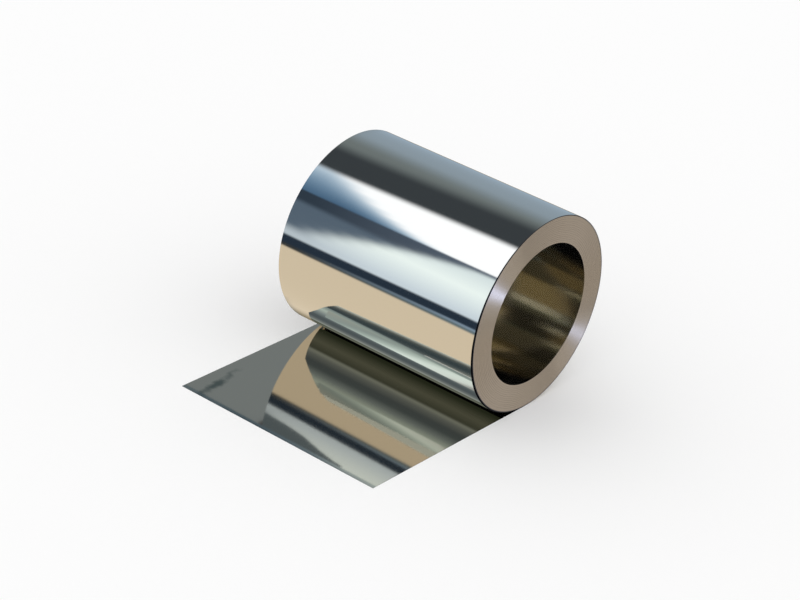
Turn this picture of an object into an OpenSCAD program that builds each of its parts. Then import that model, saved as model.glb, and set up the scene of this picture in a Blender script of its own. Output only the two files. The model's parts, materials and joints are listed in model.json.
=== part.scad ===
// Tinplate coil, lying on its side with the end of its strip paid off flat along the floor.
// Millimetres, Z up. The origin is on the bore's axis at mid width. The axis runs along X,
// and the tail lies towards -Y.

/* [Strip] */
// Width of the strip, which is the length of the coil along its axis
strip_w = 830; // [400:10:1050]
// Thickness of the strip
strip_t = 0.5; // [0.4:0.05:0.6]

/* [Coil] */
// Bore that takes the mandrel of the line that unwinds it
bore_d = 508; // [400:1:620]
// Depth of wound strip, from the bore to the outside
wound_depth = 98; // [40:1:200]
// Widest gap under the outer turn, which has sprung loose at the front
loose_gap = 10; // [5:1:20]

/* [Tail] */
// Length of the flat tail, from under the bore's axis to its cut end
tail_l = 800; // [500:10:1500]

/* [Turns on the ends] */
// Least distance between the packs of turns that show on the end faces
pack_pitch = 7; // [5:0.5:15]
// Width of the fine groove between two packs
groove_w = 0.8; // [0.6:0.1:1.5]
// Depth of that groove into the end face
groove_depth = 0.6; // [0.4:0.1:1.5]

/* [Hidden] */
// Fineness of the round faces
$fn = 180;
bore_r = bore_d / 2;
outer_r = bore_r + wound_depth;
floor_z = -outer_r;
// The loose turn lies on the tail and bites a little into it, so the two are one strip
turn_bite = 0.4 * strip_t;
// The flat tail starts just ahead of the coil's lowest line, where the round face still meets the floor
tail_root = 5;
pack_count = floor(wound_depth / pack_pitch);
// A cut runs past the coil's ends by this much
past_end = 1;

// Radius of the groove outside the pack numbered k, counted from the bore
function groove_r(k) = bore_r + k * wound_depth / pack_count;

// One groove's four corners, as [distance from the axis, distance along it], on the end at -X
function groove_points(k) = [
    [groove_r(k) - groove_w / 2, -strip_w / 2],
    [groove_r(k) - groove_w / 2, -strip_w / 2 + groove_depth],
    [groove_r(k) + groove_w / 2, -strip_w / 2 + groove_depth],
    [groove_r(k) + groove_w / 2, -strip_w / 2]
];

// One end's edge of the half section, from the bore to the outside
function end_edge() = concat(
    [[bore_r, -strip_w / 2]],
    [for (k = [1 : pack_count - 1]) each groove_points(k)],
    [[outer_r, -strip_w / 2]]
);

// The same points turned over to the other end, in the opposite order
function other_end(points) = [
    for (i = [len(points) - 1 : -1 : 0]) [points[i][0], -points[i][1]]
];

// The wound body: one turned solid, with the packs of turns as rings on its ends
module wound_body() {
    rotate([0, 90, 0])
        rotate_extrude()
            polygon(concat(end_edge(), other_end(end_edge())));
}

// Carries a section drawn in [y, z] across the strip's whole width
module across_width() {
    translate([-strip_w / 2, 0, 0])
        rotate([90, 0, 90])
            linear_extrude(height = strip_w)
                children();
}

// The outer turn at the front, sprung forward so that a crescent gap opens under it
module loose_turn() {
    across_width()
        translate([-loose_gap, strip_t - turn_bite])
            difference() {
                circle(r = outer_r);
                circle(r = outer_r - strip_t);
            }
}

// The flat tail on the floor, ending in a square cut
module tail() {
    across_width()
        translate([-tail_l, floor_z])
            square([tail_l - tail_root, strip_t]);
}

// The coil is one length of strip, from its first turn in the bore to the cut end of its tail
module strip_coil() {
    color("gainsboro")
        difference() {
            union() {
                wound_body();
                loose_turn();
                tail();
            }
            // The bore stays open all the way through
            rotate([0, 90, 0])
                cylinder(r = bore_r, h = strip_w + 2 * past_end, center = true);
        }
}

strip_coil();
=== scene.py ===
# %% [markdown]
# # A coil of bright tinplate
# A tinplate coil is one long strip of thin steel with a mirror-bright coat of tin, wound hundreds of
# times round a mandrel. Here it lies on its side, with the free end of the strip paid off flat along
# the floor. There are no joints and one solid, so all the work is in two things: surfaces smooth
# enough to be mirrors, and a studio worth mirroring.

# %% Load the frame
import json
import math

import bpy
import numpy as np
from mathutils import Matrix, Vector

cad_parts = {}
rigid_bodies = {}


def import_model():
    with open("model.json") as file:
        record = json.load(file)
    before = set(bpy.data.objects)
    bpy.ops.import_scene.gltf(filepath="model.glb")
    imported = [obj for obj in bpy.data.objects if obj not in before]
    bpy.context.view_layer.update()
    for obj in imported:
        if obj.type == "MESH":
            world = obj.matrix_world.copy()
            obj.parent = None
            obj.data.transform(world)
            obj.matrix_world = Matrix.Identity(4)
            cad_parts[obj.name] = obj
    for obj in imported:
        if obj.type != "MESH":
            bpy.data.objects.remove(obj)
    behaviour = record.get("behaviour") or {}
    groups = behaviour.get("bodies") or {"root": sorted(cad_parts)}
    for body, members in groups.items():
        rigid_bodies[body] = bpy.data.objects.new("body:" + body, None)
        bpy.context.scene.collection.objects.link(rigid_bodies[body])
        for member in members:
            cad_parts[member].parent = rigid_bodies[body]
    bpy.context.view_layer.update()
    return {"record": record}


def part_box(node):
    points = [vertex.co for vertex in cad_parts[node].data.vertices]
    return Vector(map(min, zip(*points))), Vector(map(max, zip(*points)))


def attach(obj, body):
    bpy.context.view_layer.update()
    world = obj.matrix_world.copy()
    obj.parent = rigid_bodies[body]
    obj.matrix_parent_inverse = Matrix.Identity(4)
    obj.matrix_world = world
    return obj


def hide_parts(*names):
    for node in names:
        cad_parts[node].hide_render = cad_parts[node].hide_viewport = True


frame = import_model()

# %% [markdown]
# ## Sizes
# The main lengths come from the CAD solid's box and from its bore, so the pieces made here keep to its
# size. What the box doesn't tell is repeated from the source: the strip's thickness, the gap under its
# loose turn and, further on, the fine grooves on the ends.

# %% Sizes in metres
low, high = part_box("strip_coil")
half_width = high[0]
outer_r = -low[2]
tail_length = -low[1]
floor_z = -outer_r
bore_mount = next(m for m in frame["record"]["mounts"] if m["name"] == "bore")
bore_r = bore_mount["dims"]["r_mm"] / 1000
strip_t = 0.0005
loose_gap = 0.010
print("outer radius", outer_r, "bore radius", bore_r, "tail", tail_length)

# %% [markdown]
# ## Meshes from whole arrays
# A surface is a grid of points: numpy works out all of them at once, and the faces follow from the
# grid's own numbering. Long flat grids and closed rings only differ in whether the last row or column
# joins the first.


# %% Grid helpers
def grid_faces(rows, columns, close_rows=False, close_columns=False, start=0):
    """Quads of a rows-by-columns grid of points numbered row by row from start."""
    r = np.arange(rows if close_rows else rows - 1)
    c = np.arange(columns if close_columns else columns - 1)
    r, c = np.meshgrid(r, c, indexing="ij")
    r_next, c_next = (r + 1) % rows, (c + 1) % columns
    this_row, next_row = r * columns, r_next * columns
    quads = np.stack([this_row + c, this_row + c_next, next_row + c_next, next_row + c], -1)
    return start + quads.reshape(-1, 4)


def mesh_object(name, points, faces, smooth_angle=30.0):
    """A mesh object at the origin, shaded smooth except across edges sharper than smooth_angle degrees."""
    mesh = bpy.data.meshes.new(name)
    mesh.from_pydata(points.reshape(-1, 3), [], faces)
    mesh.update()
    mesh.polygons.foreach_set("use_smooth", np.ones(len(mesh.polygons), dtype=bool))
    mesh.set_sharp_from_angle(angle=math.radians(smooth_angle))
    piece = bpy.data.objects.new(name, mesh)
    bpy.context.scene.collection.objects.link(piece)
    return piece


def vertex_uv(piece, uv, name="strip"):
    """Gives each corner of the mesh the [u, v] of its own vertex."""
    corner_vertex = np.empty(len(piece.data.loops), dtype=np.int32)
    piece.data.loops.foreach_get("vertex_index", corner_vertex)
    layer = piece.data.uv_layers.new(name=name)
    layer.data.foreach_set("uv", uv.reshape(-1, 2)[corner_vertex].astype(np.float32).ravel())


def smoothstep(t):
    """0 below t = 0, 1 above t = 1, and 3t squared less 2t cubed between."""
    t = np.clip(t, 0.0, 1.0)
    return t * t * (3 - 2 * t)


# %% [markdown]
# ## The outer turn and the tail
# The strip leaves the coil from underneath, so followed back from its cut end it runs flat to the
# coil's lowest line, up the back, over the top, and down the front, where it lies on its own tail.
# At the front it has sprung loose and stands off the turns below. It could be a plane bent by modifiers
# or a curve given a width. Here one profile is carried across the width instead, so that the whole length
# is one smooth piece, because a mirror shows every seam and every fault in its shading.

# %% The path of the strip, seen along the axis
turn_steps = 720
tail_steps = 120
root_lift = 2 * strip_t


def turn_radius(angle):
    """Outer radius: the coil's own, plus a squared cosine's gap in front, less root_lift above the tail."""
    front = np.where(np.cos(angle) < 0, np.cos(angle) ** 2, 0.0)
    lift = smoothstep((angle - math.pi) / (math.pi / 2))
    return outer_r + loose_gap * front - root_lift * lift


def strip_path():
    """Outer-face points [y, z]: backwards round the coil from its lowest line, then out along the tail."""
    angle = np.linspace(1.5 * math.pi, -0.5 * math.pi, turn_steps + 1)
    radius = turn_radius(angle)
    turn = np.stack([radius * np.cos(angle), radius * np.sin(angle)], -1)
    tail_y = -np.linspace(0, tail_length, tail_steps + 1)[1:]
    tail = np.stack([tail_y, np.full(tail_steps, floor_z)], -1)
    return np.concatenate([turn, tail])


def across(points, count):
    """Copies each [y, z] point to count places across the strip's width, as rows of [x, y, z]."""
    x = np.linspace(-half_width, half_width, count)
    rows = np.empty((len(points), count, 3))
    rows[..., 0] = x[None, :]
    rows[..., 1:] = points[:, None, :]
    return rows


outer_path = strip_path()
along = np.gradient(outer_path, axis=0)
along /= np.linalg.norm(along, axis=1, keepdims=True)
inward = np.stack([along[:, 1], -along[:, 0]], -1)
inner_path = outer_path + strip_t * inward
arc_length = np.concatenate([[0], np.cumsum(np.linalg.norm(np.diff(outer_path, axis=0), axis=1))])
print("strip shown:", round(float(arc_length[-1]), 3), "m; inward at the tail:", inward[-1])

# %% Outer turn and tail
width_steps = 25
outer_face = across(outer_path, width_steps)
inner_face = across(inner_path, width_steps)
count = len(outer_path) * width_steps
face_a = grid_faces(len(outer_path), width_steps)
face_b = grid_faces(len(outer_path), width_steps, start=count)[:, ::-1]
ring = np.arange(count).reshape(len(outer_path), width_steps)
border = np.concatenate([ring[0, :], ring[1:, -1], ring[-1, -2::-1], ring[-2:0:-1, 0]])
border_next = np.roll(border, -1)
rim = np.stack([border_next, border, border + count, border_next + count], -1)
strip_points = np.stack([outer_face, inner_face])
outer_turn = mesh_object("outer_turn", strip_points, np.concatenate([face_a, face_b, rim]))
strip_uv = np.empty((2, len(outer_path), width_steps, 2))
strip_uv[..., 0] = arc_length[None, :, None]
strip_uv[..., 1] = np.linspace(-half_width, half_width, width_steps)[None, None, :]
vertex_uv(outer_turn, strip_uv)
print("outer turn:", len(outer_turn.data.polygons), "faces")

# %% [markdown]
# ## The wound body
# Under the outer turn the coil is hundreds of turns tight together. Its ends show their slit edges as fine
# rings, a little in or out of line with each other. It could be wound as a true spiral, but its turns are
# too thin to be told apart. So the body is a half section turned about the axis, with a shallow groove
# between packs of turns, as in the CAD solid, and the finish draws the finer rings.

# %% The half section, turned about the axis
pack_count = 14
groove_width = 0.0008
groove_depth = 0.0006
around = 480


def end_profile():
    """[radius, depth below the end plane] from the bore out, with a notch between each two packs."""
    body_r = outer_r - strip_t
    edges = np.linspace(bore_r, body_r, pack_count + 1)
    points = [[bore_r, 0.0]]
    for r in edges[1:-1]:
        points += [[r - groove_width / 2, 0.0], [r - groove_width / 4, groove_depth]]
        points += [[r + groove_width / 4, groove_depth], [r + groove_width / 2, 0.0]]
    points.append([body_r, 0.0])
    return np.array(points)


def turned(section, steps):
    """Turns [x, radius] points about the X axis: y is radius times cosine, z is radius times sine."""
    angle = np.linspace(0, 2 * math.pi, steps, endpoint=False)
    points = np.empty((len(section), steps, 3))
    points[..., 0] = section[:, 0:1]
    points[..., 1] = section[:, 1:2] * np.cos(angle)
    points[..., 2] = section[:, 1:2] * np.sin(angle)
    return points


ends = end_profile()
near_end = np.stack([half_width - ends[:, 1], ends[:, 0]], -1)
section = np.concatenate([near_end, near_end[::-1] * [-1, 1]])
body_points = turned(section, around)
wound_body = mesh_object("wound_body", body_points, grid_faces(len(section), around, True, True)[:, ::-1])
print("wound body:", len(wound_body.data.polygons), "faces")

# %% [markdown]
# ## Bright tin
# Tinplate leaves the line with its tin just melted and quenched, which makes it a mirror with the faintest
# haze along the rolling direction. Light and dark could be painted on, but they would stay in place when
# the view moves, and a mirror's don't. So its colour is plain and its roughness changes in lines along the
# strip. The real lines are too fine to show, and are drawn about 4 mm apart. Near the tail's far corner the
# tin's colour is darker in a thin wavy streak.


# %% Colour and node helpers
def linear(hex_code):
    """An sRGB hex colour as linear light: over 12.92 where dark, else raised to 2.4, with alpha 1."""
    s = np.array([int(hex_code[i : i + 2], 16) / 255 for i in (0, 2, 4)])
    rgb = np.where(s <= 0.04045, s / 12.92, ((s + 0.055) / 1.055) ** 2.4)
    return (*rgb.tolist(), 1.0)


def add_node(material, kind, links=None, **settings):
    """Adds one node, sets its inputs or properties by name, and links each named input from a socket."""
    node = material.node_tree.nodes.new(kind)
    for key, value in settings.items():
        if key in node.inputs:
            node.inputs[key].default_value = value
        else:
            setattr(node, key, value)
    for key, socket in (links or {}).items():
        material.node_tree.links.new(socket, node.inputs[key])
    return node


def new_material(name):
    """An empty node material and its output node."""
    material = bpy.data.materials.new(name)
    material.use_nodes = True
    material.node_tree.nodes.clear()
    return material, add_node(material, "ShaderNodeOutputMaterial")


# %% The dark streak
TIN = "CCC8BF"
DARK_STREAK_TIN = "7C8581"
DARK_STREAK_FROM_END = 0.085
DARK_STREAK_X = -0.348
DARK_STREAK_TURN = math.radians(8.0)
DARK_STREAK_LENGTH, DARK_STREAK_WIDTH = 0.32, 0.054
WAVES_PER_METRE, WAVE_DEPTH = 22.0, 2.4
FULL_DARK_STREAK, NO_DARK_STREAK = 1.15, 2.2


def dark_streak_share(material, uv):
    """The dark streak's share of the tin: 1 near its middle, and 0 where distance plus a wavy noise has
    grown.
    """
    place = add_node(material, "ShaderNodeMapping", {"Vector": uv.outputs[0]}, vector_type="TEXTURE")
    place.inputs["Location"].default_value = (float(arc_length[-1]) - DARK_STREAK_FROM_END, DARK_STREAK_X, 0.0)
    place.inputs["Rotation"].default_value = (0.0, 0.0, DARK_STREAK_TURN)
    place.inputs["Scale"].default_value = (DARK_STREAK_LENGTH / 2, DARK_STREAK_WIDTH / 2, 1.0)
    away = add_node(material, "ShaderNodeVectorMath", {0: place.outputs[0]}, operation="LENGTH")
    waves = add_node(material, "ShaderNodeTexNoise", {"Vector": uv.outputs[0]}, Detail=4.0)
    waves.inputs["Scale"].default_value = WAVES_PER_METRE
    sums = {0: waves.outputs[0], 2: away.outputs["Value"]}
    wavy = add_node(material, "ShaderNodeMath", sums, operation="MULTIPLY_ADD")
    wavy.inputs[1].default_value = WAVE_DEPTH
    share = add_node(material, "ShaderNodeMapRange", {"Value": wavy.outputs[0]})
    share.interpolation_type = "SMOOTHSTEP"
    share.inputs["From Min"].default_value = FULL_DARK_STREAK
    share.inputs["From Max"].default_value = NO_DARK_STREAK
    share.inputs["To Min"].default_value = 1.0
    share.inputs["To Max"].default_value = 0.0
    return share


# %% Bright tin
LINES_PER_METRE = (1.5, 260.0, 1.0)


def bright_tin(name, least_rough, most_rough, with_dark_streak=False):
    """Tin melted bright on steel: a mirror, hazed by fine lines along the strip."""
    material, output = new_material(name)
    uv = add_node(material, "ShaderNodeUVMap", uv_map="strip")
    drawn = add_node(material, "ShaderNodeMapping", {"Vector": uv.outputs[0]}, Scale=LINES_PER_METRE)
    lines = add_node(material, "ShaderNodeTexNoise", {"Vector": drawn.outputs[0]}, Scale=1.0, Detail=3.0)
    haze = add_node(material, "ShaderNodeMapRange", {"Value": lines.outputs[0]})
    haze.inputs["To Min"].default_value = least_rough
    haze.inputs["To Max"].default_value = most_rough
    shader = add_node(material, "ShaderNodeBsdfPrincipled", {"Roughness": haze.outputs[0]}, Metallic=1.0)
    shader.inputs["Base Color"].default_value = linear(TIN)
    if with_dark_streak:
        share = dark_streak_share(material, uv)
        tone = add_node(material, "ShaderNodeMix", {"Factor": share.outputs[0]}, data_type="RGBA")
        tone.inputs["A"].default_value = linear(TIN)
        tone.inputs["B"].default_value = linear(DARK_STREAK_TIN)
        material.node_tree.links.new(tone.outputs["Result"], shader.inputs["Base Color"])
    material.node_tree.links.new(shader.outputs[0], output.inputs["Surface"])
    return material


# %% [markdown]
# ## The slit edges
# The ends are the bare sheared edges of hundreds of turns, side by side: a warm grey face that gleams in a
# spoke towards the light, as a record does. The gleam could be painted, but then it would stay in place
# when the light moves. An anisotropic shader, smooth along the turns and rough across them, makes it from
# the lamp. The rings are drawn 2 to 3 mm apart, coarser than real, and the last few at the rim are
# darkened as painted shade.

# %% Slit strip edges
RINGS_PER_METRE = 420.0
# The rim colour is painted shade.
DARK_EDGE, PALE_EDGE, RIM_PAINTED_SHADE = "8F8372", "AEA18F", "26272E"
RIM_DEPTH_FROM, RIM_DEPTH_TO = 0.0045, 0.0020


def radius_from_axis(material):
    """Distance from the coil's axis: the root of y times y plus z times z."""
    place = add_node(material, "ShaderNodeTexCoord")
    split = add_node(material, "ShaderNodeSeparateXYZ", {"Vector": place.outputs["Object"]})
    y, z = split.outputs["Y"], split.outputs["Z"]
    y2 = add_node(material, "ShaderNodeMath", {0: y, 1: y}, operation="MULTIPLY")
    r2 = add_node(material, "ShaderNodeMath", {0: z, 1: z, 2: y2.outputs[0]}, operation="MULTIPLY_ADD")
    return add_node(material, "ShaderNodeMath", {0: r2.outputs[0]}, operation="SQRT").outputs[0]


def slit_edges():
    """Sheared edges of hundreds of turns: warm grey metal, smooth along each turn and rough across them,
    with painted shade at the rim.
    """
    material, output = new_material("slit_strip_edges")
    radius = radius_from_axis(material)
    rings = add_node(material, "ShaderNodeTexNoise", {"W": radius}, noise_dimensions="1D", Detail=4.0)
    rings.inputs["Scale"].default_value = RINGS_PER_METRE
    tone = add_node(material, "ShaderNodeMix", {"Factor": rings.outputs[0]}, data_type="RGBA")
    tone.inputs["A"].default_value = linear(DARK_EDGE)
    tone.inputs["B"].default_value = linear(PALE_EDGE)
    # Painted shade: the end face darkens over its last few millimetres out to the rim.
    rim_shade_share = add_node(material, "ShaderNodeMapRange", {"Value": radius}, interpolation_type="SMOOTHSTEP")
    rim_shade_share.inputs["From Min"].default_value = outer_r - RIM_DEPTH_FROM
    rim_shade_share.inputs["From Max"].default_value = outer_r - RIM_DEPTH_TO
    rim_shade_mix = {"Factor": rim_shade_share.outputs[0], "A": tone.outputs["Result"]}
    colour = add_node(material, "ShaderNodeMix", rim_shade_mix, data_type="RGBA")
    colour.inputs["B"].default_value = linear(RIM_PAINTED_SHADE)
    turn_way = add_node(material, "ShaderNodeTangent", direction_type="RADIAL", axis="X")
    shader = add_node(
        material,
        "ShaderNodeBsdfPrincipled",
        {"Base Color": colour.outputs["Result"], "Tangent": turn_way.outputs[0]},
        Metallic=1.0,
        Roughness=0.27,
        Anisotropic=1.0,
    )
    shader.inputs["Anisotropic Rotation"].default_value = 0.25
    material.node_tree.links.new(shader.outputs[0], output.inputs["Surface"])
    return material


# %% [markdown]
# ## Dull steel with painted shade, and where each finish goes
# The strip's own cut edges have no tin on them, and get a dull steel, darkened beyond bare steel as painted
# shade. The turn under the loose one is tin that lies in its shade, and is painted as a dark dull steel:
# painted shade. A face's own place tells which finish it gets, so no piece has to be cut apart.

# %% Dull steel with painted shade
def dull_steel_with_painted_shade(name, hex_code, roughness):
    """Steel without the tin's shine, of one colour; the dark colours given to it here are painted shade."""
    material, output = new_material(name)
    shader = add_node(material, "ShaderNodeBsdfPrincipled", Metallic=1.0, Roughness=roughness)
    shader.inputs["Base Color"].default_value = linear(hex_code)
    material.node_tree.links.new(shader.outputs[0], output.inputs["Surface"])
    return material


# %% Finishes of the outer turn
strip_tin = bright_tin("bright_tinplate", least_rough=0.035, most_rough=0.075, with_dark_streak=True)
outer_turn.data.materials.append(strip_tin)
# Cut edges: bare steel without tin, made darker than steel is as painted shade.
outer_turn.data.materials.append(dull_steel_with_painted_shade("sheared_edge_with_painted_shade", "302D2A", roughness=0.5))
on_cut_edge = np.arange(len(outer_turn.data.polygons)) >= len(face_a) + len(face_b)
outer_turn.data.polygons.foreach_set("material_index", on_cut_edge.astype(np.int32))
print("cut edges:", int(on_cut_edge.sum()), "faces")

# %% Finishes of the wound body
wound_body.data.materials.append(bright_tin("bore_tinplate", least_rough=0.075, most_rough=0.12))
wound_body.data.materials.append(slit_edges())
# The turn under the loose one is tin; its dark dull colour is painted shade.
wound_body.data.materials.append(dull_steel_with_painted_shade("shaded_turn", "3A3D45", roughness=0.5))
bore_finish, end_finish, shaded_finish = range(3)
centres = np.empty(len(wound_body.data.polygons) * 3)
wound_body.data.polygons.foreach_get("center", centres)
centres = centres.reshape(-1, 3)
on_end = np.abs(centres[:, 0]) > half_width - 1.5 * groove_depth
on_outside = np.hypot(centres[:, 1], centres[:, 2]) > outer_r - 2 * strip_t
finish = np.where(on_end, end_finish, np.where(on_outside, shaded_finish, bore_finish))
wound_body.data.polygons.foreach_set("material_index", finish.astype(np.int32))
body_uv = np.empty((len(section), around, 2))
body_uv[..., 0] = section[:, 1:2] * np.linspace(0, 2 * math.pi, around)[None, :]
body_uv[..., 1] = section[:, 0:1]
vertex_uv(wound_body, body_uv)
print("wound body's faces in the bore, on the ends and outside:", np.bincount(finish).tolist())

# %% [markdown]
# ## One coil, two pieces
# The real coil is one length of strip, and the CAD solid is one node. The two pieces made here stand for
# that node together, and since nothing moves they ride on the body's root.

# %% Put the two pieces on the root body and hide the CAD solid
for piece in (outer_turn, wound_body):
    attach(piece, "root")
    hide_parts("strip_coil")
    print(piece.name, "stands for strip_coil")

# %% [markdown]
# ## The studio
# A mirror shows only what stands round it. That could be a picture of a room wrapped round the world, but
# a near wall looks different from each place on the coil, as it does in a real studio. So a tent of soft
# light closes the coil in: a long tube about its axis, painted with the pale and dark bands of a room.
# Only reflections see it. The floor that the camera sees is plain white.


# %% Light that only reflections see
def reflected_only(card):
    """Leaves a card to reflections alone, and stops it casting a shadow."""
    card.visible_camera = False
    card.visible_diffuse = False
    card.visible_transmission = False
    card.visible_volume_scatter = False
    card.visible_shadow = False


def card_light(name, colour=None):
    """Plain emission on the side that the card faces, from its colour or its own paint; clear behind."""
    material, output = new_material(name)
    glow = add_node(material, "ShaderNodeEmission")
    if colour is None:
        paint = add_node(material, "ShaderNodeAttribute", attribute_name="paint")
        material.node_tree.links.new(paint.outputs["Color"], glow.inputs["Color"])
    else:
        glow.inputs["Color"].default_value = (*colour, 1.0)
    clear = add_node(material, "ShaderNodeBsdfTransparent")
    side = add_node(material, "ShaderNodeNewGeometry")
    sides = {0: side.outputs["Backfacing"], 1: glow.outputs[0], 2: clear.outputs[0]}
    mix = add_node(material, "ShaderNodeMixShader", sides)
    material.node_tree.links.new(mix.outputs[0], output.inputs["Surface"])
    return material


def painted(piece, colours):
    """Stores a colour for each point as the piece's own paint."""
    paint = np.ones((len(piece.data.vertices), 4), dtype=np.float32)
    paint[:, :3] = colours.reshape(-1, 3)
    piece.data.attributes.new("paint", "FLOAT_COLOR", "POINT").data.foreach_set("color", paint.ravel())


def stops(place, marks):
    """The colour at each place along a row of marks, each of them a place and its colour."""
    at = [mark[0] for mark in marks]
    return np.stack([np.interp(place, at, [mark[1][i] for mark in marks]) for i in range(3)], -1)


# %% The tent's colours
# The coil's near end mirrors the tent at near_x, and its far end at far_x, as the photo's camera sees it.
# Angles are in degrees: 0 straight behind the coil, 90 over its top and 180 straight ahead, past the tail.
tent_r = 5.0
tent_half_length = 9.0
near_x, far_x = -2.32, -3.50
FLOOR_BACK = (0.30, 0.25, 0.16)
SKY_LOW = (0.38, 0.49, 0.61)
GREY_WALL = (0.235, 0.285, 0.31)
CHARCOAL = (0.062, 0.076, 0.092)
SOFTBOX = (1.66, 1.76, 1.95)
SLATE_NEAR = (0.14, 0.19, 0.28)
SLATE_FAR = (0.045, 0.07, 0.11)
DUSK = (0.14, 0.205, 0.30)
NAVY = (0.03, 0.05, 0.085)
BLUE_LINE = (0.32, 0.45, 0.62)
SHADE_LINE = (0.05, 0.06, 0.07)
TEAL = (0.18, 0.26, 0.31)
TABLE = (1.0, 0.87, 0.68)
DIM_CORNER = (0.25, 0.285, 0.30)
WARM_SIDE = (0.86, 0.84, 0.84)
PALE_STOPS = [136, 154, 178]
PALE_COLOURS = [(1.10, 1.30, 1.44), (1.37, 1.58, 1.68), (0.94, 1.12, 1.33)]
PALE_FAR_DIM = 0.2
FADE_FROM_NEAR, FADE_FROM_FAR = 131, 90
FADE_REACH_NEAR, FADE_REACH_FAR = 4, 15
FADE_RATE = np.array([1.0, 0.76, 0.58])
CORNER_X, CORNER_X_SOFT = -3.62, 0.15
CORNER_TOP, CORNER_TOP_SOFT = 70, 20
WARM_X_SOFT = 1.5
WARM_TOP, WARM_TOP_SOFT = 55, 25


def pale_wall(degrees):
    """The pale wall, in straight steps from stop to stop, brightest near its middle."""
    channels = [np.interp(degrees, PALE_STOPS, [c[i] for c in PALE_COLOURS]) for i in range(3)]
    return np.concatenate(channels, -1)


def softbox_fade(s, degrees):
    """What is left of the softbox: e to the minus angle past a line, over a reach. Its red fades first."""
    start = FADE_FROM_NEAR + (FADE_FROM_FAR - FADE_FROM_NEAR) * s**2.4
    reach = FADE_REACH_NEAR + (FADE_REACH_FAR - FADE_REACH_NEAR) * s**4
    return np.exp(-np.clip((degrees - start) / reach, 0, None) * FADE_RATE)


def tent_paint(x, degrees):
    """Colour of the tent: each band takes over past its own edge, which runs from a near to a far angle."""
    x, degrees = x[..., None], degrees[..., None]
    s = np.clip((near_x - x) / (near_x - far_x), 0, 1)

    def take_over(colour, band, near_edge, far_edge, near_soft, far_soft, bow=0.0):
        """Blends colour into band by a smoothstep, soft degrees wide, about an edge that bow bends."""
        edge = near_edge + (far_edge - near_edge) * (s + bow * s * (s - 1))
        soft = near_soft + (far_soft - near_soft) * s
        share = smoothstep((degrees - edge) / soft + 0.5)
        return colour * (1 - share) + band * share

    def between(near_colour, far_colour):
        """A straight mix from near to far."""
        return np.array(near_colour) * (1 - s) + np.array(far_colour) * s

    colour = np.broadcast_to(np.array(TABLE), degrees.shape[:-1] + (3,))
    colour = take_over(colour, np.array(FLOOR_BACK), -65, -65, 30, 30)
    colour = take_over(colour, np.array(SKY_LOW), -14, -14, 6, 6)
    colour = take_over(colour, np.array(GREY_WALL), 43, 43, 26, 26)
    colour = take_over(colour, np.array(CHARCOAL), 58, 66, 20, 18)
    colour = take_over(colour, np.array(SOFTBOX) * softbox_fade(s, degrees), 92.8, 99.3, 8, 8)
    colour = take_over(colour, between(SLATE_NEAR, SLATE_FAR), 130, 131.7, 2, 2)
    colour = take_over(colour, np.array(DUSK), 144, 144, 7, 7)
    wall = pale_wall(degrees) * (1 - PALE_FAR_DIM * s**4)
    colour = take_over(colour, wall, 132.8, 175, 5, 12, bow=0.53)
    colour = take_over(colour, np.array(NAVY), 181, 184, 3, 3)
    colour = take_over(colour, between(BLUE_LINE, SHADE_LINE), 190, 193.5, 2, 2)
    colour = take_over(colour, between(TEAL, SHADE_LINE), 192.5, 196, 2, 2)
    colour = take_over(colour, np.array(TABLE), 195.5, 197.5, 3, 3)
    corner = smoothstep((CORNER_X - x) / CORNER_X_SOFT)
    corner = corner * smoothstep((CORNER_TOP - degrees) / CORNER_TOP_SOFT)
    colour = colour * (1 - corner) + np.array(DIM_CORNER) * corner
    warm = smoothstep(x / WARM_X_SOFT) * smoothstep((WARM_TOP - degrees) / WARM_TOP_SOFT)
    return colour * (1 - warm) + np.array(WARM_SIDE) * warm


# %% Build the tent
tent_columns, tent_rows = 145, 721
tent_x = np.linspace(-tent_half_length, tent_half_length, tent_columns)
tent_deg = np.linspace(-90, 270, tent_rows)
grid_x, grid_deg = np.meshgrid(tent_x, tent_deg, indexing="ij")
tent_y = tent_r * np.cos(np.radians(grid_deg))
tent_z = tent_r * np.sin(np.radians(grid_deg))
tent_points = np.stack([grid_x, tent_y, tent_z], -1)
tent = mesh_object("light_tent", tent_points, grid_faces(tent_columns, tent_rows)[:, ::-1])
painted(tent, tent_paint(grid_x, grid_deg))
tent.data.materials.append(card_light("tent_light"))
reflected_only(tent)
print("tent faces", tuple(round(c, 2) for c in tent.data.polygons[0].normal), "at its lowest line")

# %% [markdown]
# ## What the foot of the coil sees
# Low on its front the coil looks straight down at its own tail, and the two mirrors pass the room to and
# fro. The lines that show there are finer than the tent's bands, so small level cards near the metal stand
# in for what it would catch. Those over the tail glow upwards only. Two hang ahead of the coil and glow
# downwards only, and light that has met both mirrors comes from there.

# %% Paint of the cards round the tail
# Each mark is a place along Y at mid width, in metres, and the card's colour there.
TIP_CARD = [
    (-0.42, (0.45, 0.50, 0.47)),
    (-0.36, (0.37, 0.46, 0.46)),
    (-0.325, (0.62, 0.76, 0.74)),
    (-0.295, (1.00, 1.17, 1.15)),
    (-0.258, (0.95, 1.07, 1.06)),
    (-0.24, (0.43, 0.45, 0.45)),
]
LOW_CARD = [
    (-0.395, (0.28, 0.36, 0.37)),
    (-0.355, (0.58, 0.70, 0.66)),
    (-0.31, (0.28, 0.34, 0.36)),
    (-0.272, (0.11, 0.14, 0.155)),
    (-0.245, (0.105, 0.13, 0.145)),
    (-0.215, (0.21, 0.24, 0.24)),
    (-0.198, (0.35, 0.39, 0.36)),
    (-0.187, (0.09, 0.10, 0.075)),
    (-0.152, (0.16, 0.17, 0.13)),
    (-0.109, (0.04, 0.05, 0.03)),
]
SLATE_WEDGE = (0.18, 0.235, 0.29)
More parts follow.
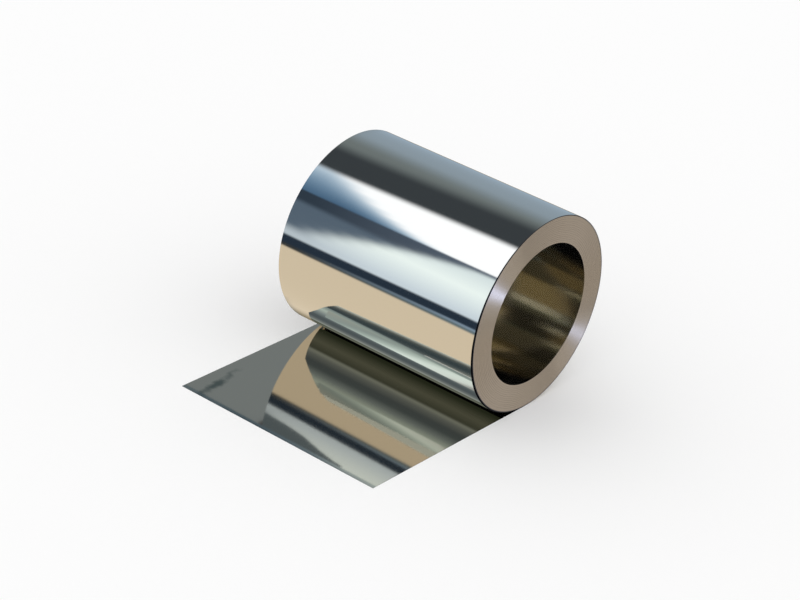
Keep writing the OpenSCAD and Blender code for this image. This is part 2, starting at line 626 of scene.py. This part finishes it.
HUNG_CARD = [
    (-0.70, (1.30, 1.48, 1.56)),
    (-0.645, (0.25, 0.30, 0.32)),
    (-0.60, (0.11, 0.16, 0.20)),
    (-0.55, (0.085, 0.13, 0.17)),
    (-0.50, (0.16, 0.22, 0.27)),
    (-0.46, (0.42, 0.50, 0.52)),
]


# %% Ways to make a card
card_rows, card_columns = 160, 13


def level_card(name, x_range, y_range, z, marks, slant=0.0, up=True):
    """A level card whose paint follows y plus slant times x, and which glows upwards or downwards."""
    x_line, y_line = np.linspace(*x_range, card_columns), np.linspace(*y_range, card_rows)
    y, x = np.meshgrid(y_line, x_line, indexing="ij")
    faces = grid_faces(*y.shape)
    card = mesh_object(name, np.stack([x, y, np.full_like(y, z)], -1), faces if up else faces[:, ::-1])
    painted(card, stops(y + slant * x, marks))
    card.data.materials.append(card_light(name + "_light"))
    reflected_only(card)
    print(name, "faces", tuple(round(c, 2) for c in card.data.polygons[0].normal))


def plain_card(name, corners, colour):
    """A card of one colour, which glows towards the side from which its corners run anticlockwise."""
    card = mesh_object(name, np.array(corners), [list(range(len(corners)))])
    card.data.materials.append(card_light(name + "_light", colour))
    reflected_only(card)
    print(name, "faces", tuple(round(c, 2) for c in card.data.polygons[0].normal))


def flat_card(name, corners, z, colour):
    """A level card of one colour, which glows upwards if its corners run anticlockwise seen from above."""
    plain_card(name, [(x, y, z) for x, y in corners], colour)


# %% Cards over the tail
near_floor = floor_z + 0.0015
tip_z = floor_z + 0.07
past_side = 0.43
table_corners = [(-past_side, -0.86), (past_side, -0.86), (past_side, -0.572), (-past_side, -0.468)]
flat_card("table_card", table_corners, near_floor, TABLE)
side_edge = [(-0.30, -0.56), (-0.316, -0.538), (-0.334, -0.49)]
side_edge += [(-0.359, -0.413), (-0.381, -0.328), (-0.411, -0.26)]
side_corners = [(-past_side, -0.26), (-past_side, -0.56), *side_edge]
flat_card("side_card", side_corners, near_floor + 0.001, TABLE)
level_card("low_card", (-half_width, half_width), (-0.40, -0.10), near_floor + 0.0005, LOW_CARD)
level_card("tip_card", (-0.297, half_width), (-0.36, -0.30), tip_z, TIP_CARD, slant=0.2)

# %% Cards hung ahead of the coil
hung_z, wedge_z = -0.115, 0.05
level_card("hung_card", (-0.95, 0.55), (-1.30, -0.472), hung_z, HUNG_CARD, slant=0.19, up=False)
wedge_edge = [(-1.20, -1.16), (-0.914, -1.134), (-0.76, -1.034), (-0.557, -0.857)]
wedge_edge += [(-0.418, -0.711), (-0.326, -0.628), (-0.221, -0.56), (-0.167, -0.548)]
wedge_corners = [(-1.20, -0.40), *wedge_edge, (-0.15, -0.40)]
flat_card("wedge_card", wedge_corners[::-1], wedge_z, SLATE_WEDGE)

# %% [markdown]
# ## The gleam on the end
# Ring after ring of slit edges spreads a lamp's light across the rings, not along them, so one small strong
# lamp straight out from the end draws two spokes. It could be a lamp object, but a card that only
# reflections see leaves the floor's shadow alone. Its glow is bluish, as the gleam in the photograph is.

# %% The lamp straight out from the end
lamp_x, lamp_half = 4.0, 0.1
LAMP_GLOW = (330.0, 440.0, 800.0)
lamp_corners = [(lamp_x, a * lamp_half, b * lamp_half) for a, b in ((-1, -1), (-1, 1), (1, 1), (1, -1))]
plain_card("end_lamp", lamp_corners, LAMP_GLOW)

# %% [markdown]
# ## What shows in the bore
# Most of the light in the bore comes through it from its far end. Each bounce takes some of its strength,
# and most from its cold tones, and a warm gel over the far mouth takes more. Past the gel a flag and two
# walls darken what leaves the bore upwards and sideways, and one bright card makes the pale streak.

# %% The gel over the bore's far mouth
BORE_GEL = (0.50, 0.48, 0.34)
gel_sides = 96
gel_gap = 0.01
rim_angle = np.linspace(0, 2 * math.pi, gel_sides, endpoint=False)
gel_x = np.full(gel_sides, -half_width - gel_gap)
rim_points = np.stack([gel_x, bore_r * np.cos(rim_angle), bore_r * np.sin(rim_angle)], -1)
bore_gel = mesh_object("bore_gel", rim_points, [list(range(gel_sides))])
gel, gel_output = new_material("warm_gel")
pane = add_node(gel, "ShaderNodeBsdfTransparent", Color=(*BORE_GEL, 1.0))
gel.node_tree.links.new(pane.outputs[0], gel_output.inputs["Surface"])
bore_gel.data.materials.append(gel)
reflected_only(bore_gel)
print("gel at x", round(float(gel_x[0]), 3), "m")

# %% Cards past the bore's far mouth
FLAG = (0.09, 0.09, 0.095)
BACK_WALL = (0.27, 0.26, 0.25)
STREAK = (1.9, 2.0, 2.4)
FRONT_WALL = (0.29, 0.31, 0.31)
back_y, front_y, flag_z = 0.30, -0.34, 0.27
flag_corners = [(-0.85, -0.30), (-0.85, 0.02), (-0.76, 0.03), (-0.76, 0.25), (-0.48, 0.25), (-0.48, -0.30)]
flat_card("bore_flag", flag_corners, flag_z, FLAG)


def wall_card(name, x_range, y, z_range, colour):
    """An upright card across Y at the bore's far end, which glows back towards the axis."""
    (x0, x1), (z0, z1) = x_range, z_range
    corners = [(x0, y, z0), (x0, y, z1), (x1, y, z1), (x1, y, z0)]
    plain_card(name, corners if y < 0 else corners[::-1], colour)


wall_card("back_wall", (-0.72, -0.43), back_y, (-0.35, flag_z), BACK_WALL)
wall_card("streak_card", (-0.80, -0.50), front_y, (-0.13, 0.055), STREAK)
wall_card("front_wall", (-1.00, -0.50), front_y, (0.10, 0.30), FRONT_WALL)

# %% [markdown]
# ## The floor and the plain light
# The floor is a white diffuse sheet, and the coil's soft shadow falls on it. It is hidden from reflections,
# so that the coil shows the tent and its cards instead. An even white world lights the floor.

# %% Floor and world
floor_half = 12.0
floor = mesh_object(
    "floor",
    np.array([(-1, -1, 0), (1, -1, 0), (1, 1, 0), (-1, 1, 0)]) * floor_half + np.array([0, 0, floor_z]),
    [[0, 1, 2, 3]],
)
floor_paint, floor_output = new_material("white_floor")
floor_shader = add_node(floor_paint, "ShaderNodeBsdfDiffuse")
floor_shader.inputs["Color"].default_value = linear("FDFDFD")
floor_paint.node_tree.links.new(floor_shader.outputs[0], floor_output.inputs["Surface"])
floor.data.materials.append(floor_paint)
floor.visible_glossy = False
print("floor at z", round(floor_z, 4), "m")

world = bpy.data.worlds.new("studio")
bpy.context.scene.world = world
world.use_nodes = True
world.node_tree.nodes["Background"].inputs["Color"].default_value = (1.0, 1.0, 1.0, 1.0)
world.node_tree.nodes["Background"].inputs["Strength"].default_value = 1.0

# %% [markdown]
# ## The camera
# The view looks down on the coil's near end and front. It stands well back with a long lens, and is rolled
# a little, which is how the coil's outline in the photograph is best met.

# %% Camera
view_azimuth = 35.97
view_elevation = 27.32
view_roll = 7.31
view_distance = 8.448
view_aim = Vector((0.045, -0.275, -0.010))
azimuth, elevation, roll = (math.radians(a) for a in (view_azimuth, view_elevation, view_roll))
back = Vector(
    (math.sin(azimuth) * math.cos(elevation), -math.cos(azimuth) * math.cos(elevation), math.sin(elevation))
)
level_right = Vector((math.cos(azimuth), math.sin(azimuth), 0))
level_up = back.cross(level_right)
right = level_right * math.cos(roll) + level_up * math.sin(roll)
up = level_up * math.cos(roll) - level_right * math.sin(roll)
camera_data = bpy.data.cameras.new("camera")
camera_data.lens = 114.97
camera_data.sensor_width = 36.0
camera_data.clip_end = 60.0
camera = bpy.data.objects.new("camera", camera_data)
bpy.context.scene.collection.objects.link(camera)
camera.matrix_world = Matrix.Translation(view_aim + back * view_distance) @ Matrix(
    ((right.x, up.x, back.x, 0), (right.y, up.y, back.y, 0), (right.z, up.z, back.z, 0), (0, 0, 0, 1))
)
bpy.context.scene.camera = camera
bpy.context.scene.view_settings.view_transform = "Standard"
print("camera at", tuple(round(c, 2) for c in camera.matrix_world.translation))
